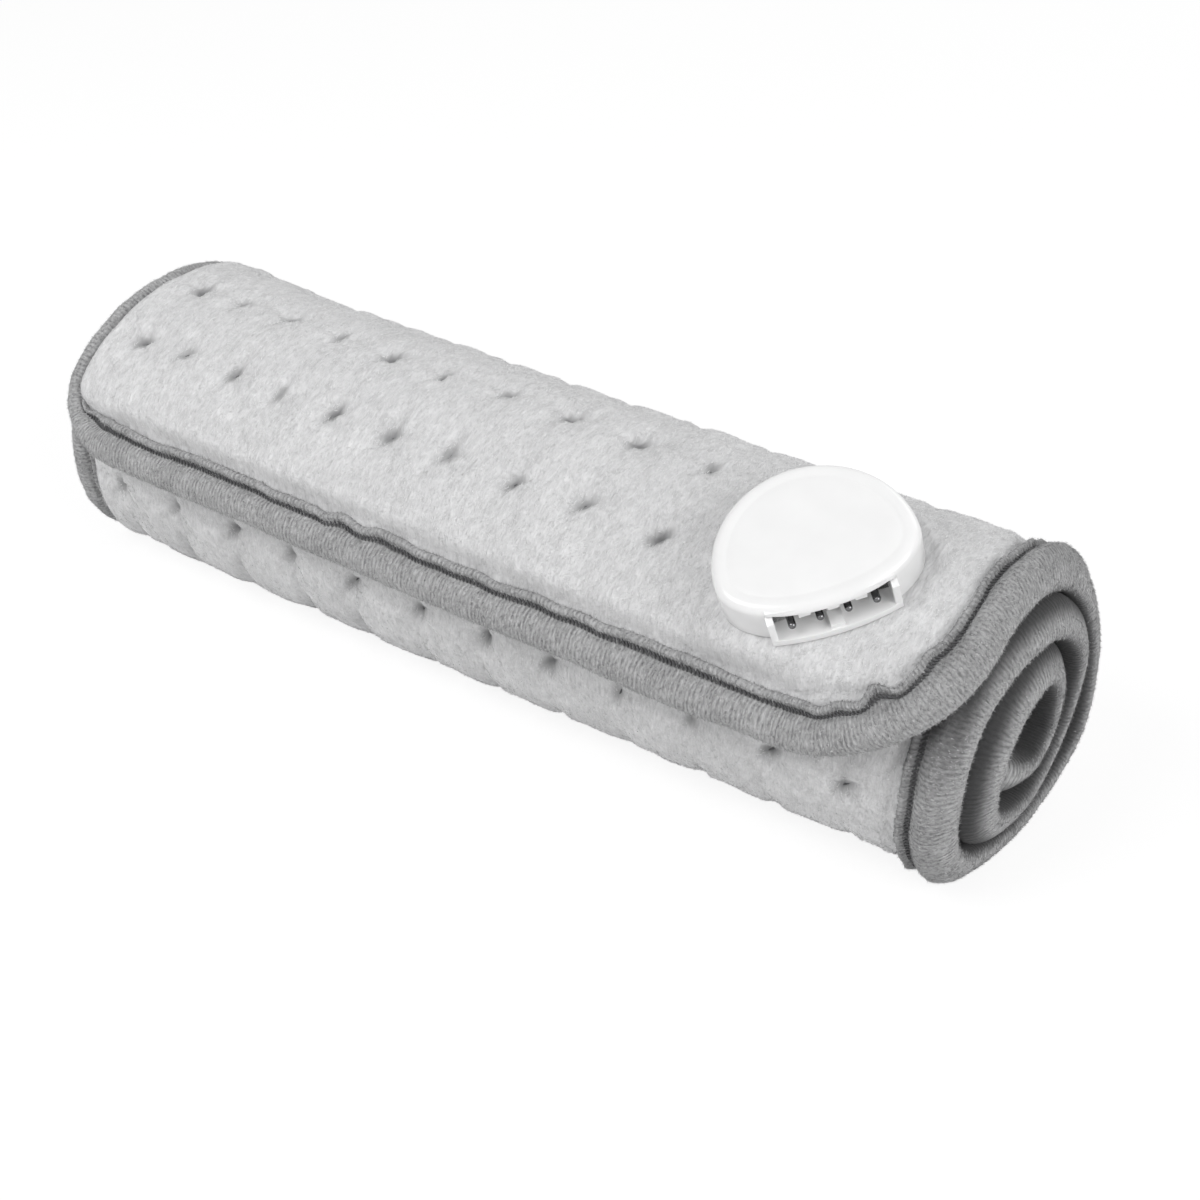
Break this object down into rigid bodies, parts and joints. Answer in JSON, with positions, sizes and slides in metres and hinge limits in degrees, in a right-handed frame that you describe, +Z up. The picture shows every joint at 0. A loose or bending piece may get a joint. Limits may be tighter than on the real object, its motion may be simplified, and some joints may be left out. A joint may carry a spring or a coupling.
{
  "type": "rolled heating pad",
  "caption": "Plush electric heating pad with sewn tufts and a bound edge, rolled up; its loose end lies on top as a flap with a low white socket for a plug-in controller.",
  "frame": {"origin": "middle of the bounding box at its underside, on the surface that the roll lies on", "axes": "+X along the roll towards the end with the socket, -Y to the front where the flap ends, +Z up"},
  "size_m": [0.3248, 0.1012, 0.1077],
  "materials": {
    "plush": "short grey plush pile",
    "binding": "finely ribbed knitted tape",
    "felt": "needled felt",
    "wire": "satin insulation",
    "housing": "glossy white moulding",
    "carrier": "satin off-white moulding",
    "sleeve": "matt shrink sleeve",
    "contact": "bright plated metal",
    "screw": "zinc plated steel"
  },
  "bodies": {
    "roll": {"face_panel_roll": "plush", "upper_felt_roll": "felt", "heating_wire_roll": "wire", "lower_felt_roll": "felt", "back_panel_roll": "plush", "left_binding_roll": "binding", "right_binding_roll": "binding", "inner_end_binding": "binding"},
    "flap": {"face_panel_flap": "plush", "upper_felt_flap": "felt", "heating_wire_flap": "wire", "return_wire_flap": "wire", "lower_felt_flap": "felt", "back_panel_flap": "plush", "edge_binding_flap": "binding", "connector_cover": "housing", "connector_base": "housing", "pin_carrier": "carrier", "backing_plate": "carrier", "splice_sleeve_start": "sleeve", "splice_sleeve_return": "sleeve", "contact_pin_1": "contact", "contact_pin_2": "contact", "contact_pin_3": "contact", "contact_pin_4": "contact", "lead_1": "wire", "lead_2": "wire", "lead_3": "wire", "lead_4": "wire", "fixing_screw_1": "screw", "fixing_screw_2": "screw", "fixing_screw_3": "screw"}
  },
  "joints": [
    {"name": "flap_lift", "type": "hinge", "parent": "roll", "child": "flap", "pos_m": [0, 0.0395, 0.0736], "axis": [-1, 0, 0], "range_deg": [0, 60]}
  ]
}
